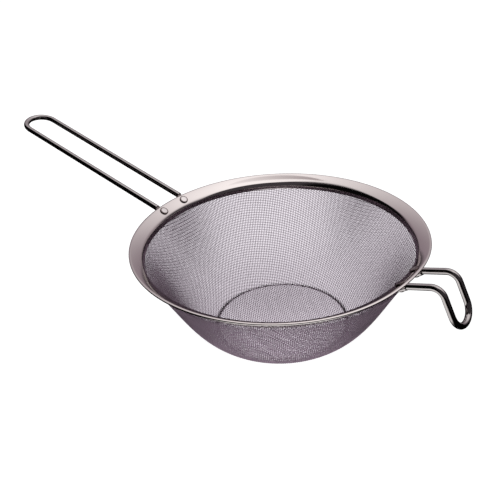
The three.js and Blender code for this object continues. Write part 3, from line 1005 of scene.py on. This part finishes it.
class STRAINER_OT_weave_cloth(bpy.types.Operator):
    """Weave the wire cloth and press it into the bowl"""

    bl_idname = "strainer.weave_cloth"
    bl_label = "Weave Cloth"
    bl_options = {"REGISTER", "UNDO"}

    def execute(self, context):
        scene = context.scene
        material = mesh_steel(scene.strainer_finish, scene.strainer_cloth)
        for piece in weave_cloth(scene.strainer_brim, scene.strainer_cloth):
            fit_to_frame(piece, "mesh_bowl", material)
        return {"FINISHED"}


class STRAINER_OT_bend_wires(bpy.types.Operator):
    """Bend the handle and the rest hook"""

    bl_idname = "strainer.bend_wires"
    bl_label = "Bend Wires"
    bl_options = {"REGISTER", "UNDO"}

    def execute(self, context):
        scene = context.scene
        sizes = scene.strainer_brim, scene.strainer_wires, scene.strainer_rivets
        material = wire_steel(scene.strainer_finish)
        fit_to_frame(bend_handle(*sizes), "handle_wire", material)
        fit_to_frame(bend_hook(*sizes), "hook_wire", material)
        return {"FINISHED"}


class STRAINER_OT_set_rivets(bpy.types.Operator):
    """Set the four rivets"""

    bl_idname = "strainer.set_rivets"
    bl_label = "Set Rivets"
    bl_options = {"REGISTER", "UNDO"}

    def execute(self, context):
        scene = context.scene
        sizes = scene.strainer_brim, scene.strainer_wires, scene.strainer_rivets
        material = rivet_steel(scene.strainer_finish)
        seats = {
            "handle_rivet_left": handle_seat(*sizes, -1.0),
            "handle_rivet_right": handle_seat(*sizes, 1.0),
            "hook_rivet_left": hook_seat(*sizes, 1.0),
            "hook_rivet_right": hook_seat(*sizes, -1.0),
        }
        for node, seat in seats.items():
            rivet = set_rivet(scene.strainer_rivets, seat, f"flat_{node}")
            fit_to_frame(rivet, node, material)
        return {"FINISHED"}


def seen(shades, in_steel=1.0):
    """1 for what the camera sees, a share of it in steel, and 0 for light that falls on things."""
    paths = shades.add("ShaderNodeLightPath").outputs
    mirrored = shades.math("MULTIPLY", paths["Is Glossy Ray"], in_steel)
    straight = shades.math("MAXIMUM", paths["Is Camera Ray"], mirrored)
    return shades.math("MAXIMUM", straight, paths["Is Transmission Ray"])


def floor_material(stage):
    """Pale floor that shows white from above and in the steel, and keeps the strainer's shadow."""
    material = bpy.data.materials.new("pale_floor")
    material.cycles.emission_sampling = "NONE"
    shades = Shades(material)
    back = -Vector(stage.camera_place).xy.normalized()
    spot = shades.add("ShaderNodeTexCoord").outputs["Object"]
    # Painted shade: the glow takes the floor_shade colour in rounds where the bowl hides and shades the floor
    painted_shade = 0.0
    for reach, radius in SHADE_ROUNDS:
        off_middle = shades.vector("DISTANCE", spot, (*(back * reach), 0.0))
        within = shades.step(off_middle, radius, radius * SHADE_EDGE)
        painted_shade = shades.math("MAXIMUM", within, painted_shade)
    lit = shades.add("ShaderNodeBsdfDiffuse")
    shades.feed(lit.inputs["Color"], FLOOR_COLOUR)
    colour = shades.blend(painted_shade, stage.floor_glow, stage.floor_shade)
    both = shades.add("ShaderNodeAddShader")
    shades.links.new(lit.outputs["BSDF"], both.inputs[0])
    shades.links.new(shades.glow(colour, seen(shades, stage.floor_in_steel)), both.inputs[1])
    from_below = shades.add("ShaderNodeNewGeometry").outputs["Backfacing"]
    shades.surface(shades.fade(from_below, both.outputs["Shader"], shades.clear()))
    return material


def lay_floor(stage):
    """A wide pale floor under the strainer."""
    bm = bmesh.new()
    bmesh.ops.create_grid(bm, x_segments=1, y_segments=1, size=FLOOR_HALF_WIDTH)
    mesh = bpy.data.meshes.new("floor")
    bm.to_mesh(mesh)
    bm.free()
    floor = link_piece("floor", mesh)
    mesh.materials.append(floor_material(stage))


def card_material(stage):
    """What the steel mirrors: a bright ceiling with a bar, a grey card behind, dark ones round it, a mat."""
    material = bpy.data.materials.new("studio_cards")
    material.cycles.emission_sampling = "NONE"
    shades = Shades(material)
    spot = shades.add("ShaderNodeTexCoord").outputs["Object"]

    def along(x, y, z):
        return shades.vector("DOT_PRODUCT", spot, Vector((x, y, z)) / stage.card_distance)

    back = -Vector(stage.camera_place).xy.normalized()
    right, behind, up = along(back.y, -back.x, 0.0), along(back.x, back.y, 0.0), along(0.0, 0.0, 1.0)
    tilt, rise = CEILING_WAY
    high = shades.math("MAXIMUM", along(back.y * tilt, -back.x * tilt, rise), 0.0)
    sky = shades.blend(shades.math("POWER", high, CEILING_FADE), stage.card, stage.ceiling)
    taper = shades.math("MULTIPLY", shades.math("MULTIPLY", right, right), BAR_TAPER)
    past_bar = shades.math("ABSOLUTE", shades.math("SUBTRACT", behind, BAR_BEHIND), 0.0)
    in_bar = shades.step(shades.math("ADD", past_bar, taper), *BAR_EDGE)
    on_bar = shades.math("MULTIPLY", in_bar, shades.spread(right, *BAR_SHARES, *BAR_ENDS))
    sky = shades.blend(on_bar, sky, stage.bar)

    front = shades.step(shades.math("ADD", behind, shades.math("MINIMUM", right, 0.0)), *FRONT_EDGE)
    sides = shades.math("MULTIPLY", shades.step(right, *LEFT_EDGE), shades.step(right, *RIGHT_EDGE))
    dark = shades.blend(shades.step(right, *BLACK_EDGE), stage.card_side, stage.card_front)
    pattern = shades.blend(shades.math("MULTIPLY", front, sides), dark, sky)
    pattern = shades.blend(shades.step(up, *HORIZON), stage.card_side, pattern)
    card = shades.glow(pattern, stage.ceiling_level)

    from_opening = shades.add("ShaderNodeCombineXYZ")
    shades.links.new(shades.math("MULTIPLY", right, stage.mat_narrowing), from_opening.inputs["X"])
    shift = stage.mat_shift / stage.card_distance
    shades.links.new(shades.math("ADD", behind, shift), from_opening.inputs["Y"])
    shades.links.new(up, from_opening.inputs["Z"])
    reach = shades.vector("LENGTH", from_opening.outputs["Vector"])
    on_mat = shades.step(reach, stage.mat_start / stage.card_distance, stage.mat_full / stage.card_distance)
    shades.surface(shades.fade(on_mat, shades.clear(), card))
    return material


def stand_cards(stage):
    """A dome of cards and a mat round the strainer, seen only in the steel."""
    bm = bmesh.new()
    outline = [(0.0, MAT_HEIGHT)]
    rows = 12
    for row in range(rows + 1):
        lean = math.pi / 2.0 * row / rows
        height = stage.card_distance * math.sin(lean) + MAT_HEIGHT
        outline.append((stage.card_distance * math.cos(lean), height))
    spin_line(bm, outline, 48)
    cards = finish_mesh(bm, "studio_cards")
    cards.data.materials.append(card_material(stage))
    for ray in ("camera", "diffuse", "transmission", "shadow"):
        setattr(cards, f"visible_{ray}", False)


def light_room(stage):
    """Soft light from all round, with a white background."""
    world = bpy.data.worlds.new("studio")
    bpy.context.scene.world = world
    world.cycles.sampling_method = "NONE"
    shades = Shades(world)
    background = shades.add("ShaderNodeBackground")
    background.inputs["Color"].default_value = (1.0, 1.0, 1.0, 1.0)
    strength = shades.spread(seen(shades), stage.room_light, 1.0, 0.0, 1.0)
    shades.links.new(strength, background.inputs["Strength"])
    shades.surface(background.outputs["Background"], "ShaderNodeOutputWorld")


def hang_lamp(stage):
    """A wide soft box above the strainer, to the left of the view and a little behind."""
    light = bpy.data.lights.new("soft_box", "AREA")
    light.shape = "RECTANGLE"
    light.size = stage.lamp_width
    light.size_y = stage.lamp_depth
    light.energy = stage.lamp_power
    lamp = link_piece("soft_box", light)
    lamp.location = stage.lamp_place
    view = Vector(stage.camera_place)
    lamp.rotation_euler = (0.0, 0.0, math.atan2(view.x, -view.y))
    lamp.visible_glossy = False


def stand_camera(stage):
    """The camera, where the photograph was taken from."""
    camera = bpy.data.cameras.new("camera")
    camera.sensor_width = 36.0
    camera.lens = stage.lens
    camera.clip_start = 0.01
    stand = link_piece("camera", camera)
    stand.location = stage.camera_place
    aim = Vector(stage.camera_aim) - Vector(stage.camera_place)
    turn = aim.to_track_quat("-Z", "Y") @ Quaternion(UP, stage.camera_roll)
    stand.rotation_euler = turn.to_euler()
    bpy.context.scene.camera = stand


class STRAINER_OT_set_stage(bpy.types.Operator):
    """Lay the floor, light the room and stand the camera"""

    bl_idname = "strainer.set_stage"
    bl_label = "Set Stage"
    bl_options = {"REGISTER", "UNDO"}

    def execute(self, context):
        stage = context.scene.strainer_stage
        lay_floor(stage)
        stand_cards(stage)
        light_room(stage)
        hang_lamp(stage)
        stand_camera(stage)
        context.scene.view_settings.view_transform = "Standard"
        return {"FINISHED"}


class STRAINER_PT_sidebar(bpy.types.Panel):
    """The strainer's pieces, in the order that they are made"""

    bl_label = "Mesh Strainer"
    bl_idname = "STRAINER_PT_sidebar"
    bl_space_type = "VIEW_3D"
    bl_region_type = "UI"
    bl_category = "Strainer"

    def draw(self, context):
        for operator in OPERATORS:
            self.layout.operator(operator.bl_idname)


GROUPS = {
    "strainer_brim": STRAINER_PG_brim,
    "strainer_cloth": STRAINER_PG_cloth,
    "strainer_wires": STRAINER_PG_wires,
    "strainer_rivets": STRAINER_PG_rivets,
    "strainer_finish": STRAINER_PG_finish,
    "strainer_stage": STRAINER_PG_stage,
}
OPERATORS = (
    STRAINER_OT_spin_brim,
    STRAINER_OT_weave_cloth,
    STRAINER_OT_bend_wires,
    STRAINER_OT_set_rivets,
    STRAINER_OT_set_stage,
)
CLASSES = (*GROUPS.values(), *OPERATORS, STRAINER_PT_sidebar)


def register():
    """Adds the classes and the scene's settings."""
    for cls in CLASSES:
        bpy.utils.register_class(cls)
    for name, group in GROUPS.items():
        setattr(bpy.types.Scene, name, PointerProperty(type=group))


def unregister():
    """Takes them away again."""
    for name in GROUPS:
        delattr(bpy.types.Scene, name)
    for cls in reversed(CLASSES):
        bpy.utils.unregister_class(cls)


def main():
    """Makes every piece and the stage."""
    register()
    bpy.ops.strainer.spin_brim()
    bpy.ops.strainer.weave_cloth()
    bpy.ops.strainer.bend_wires()
    bpy.ops.strainer.set_rivets()
    bpy.ops.strainer.set_stage()


if __name__ == "__main__":
    main()
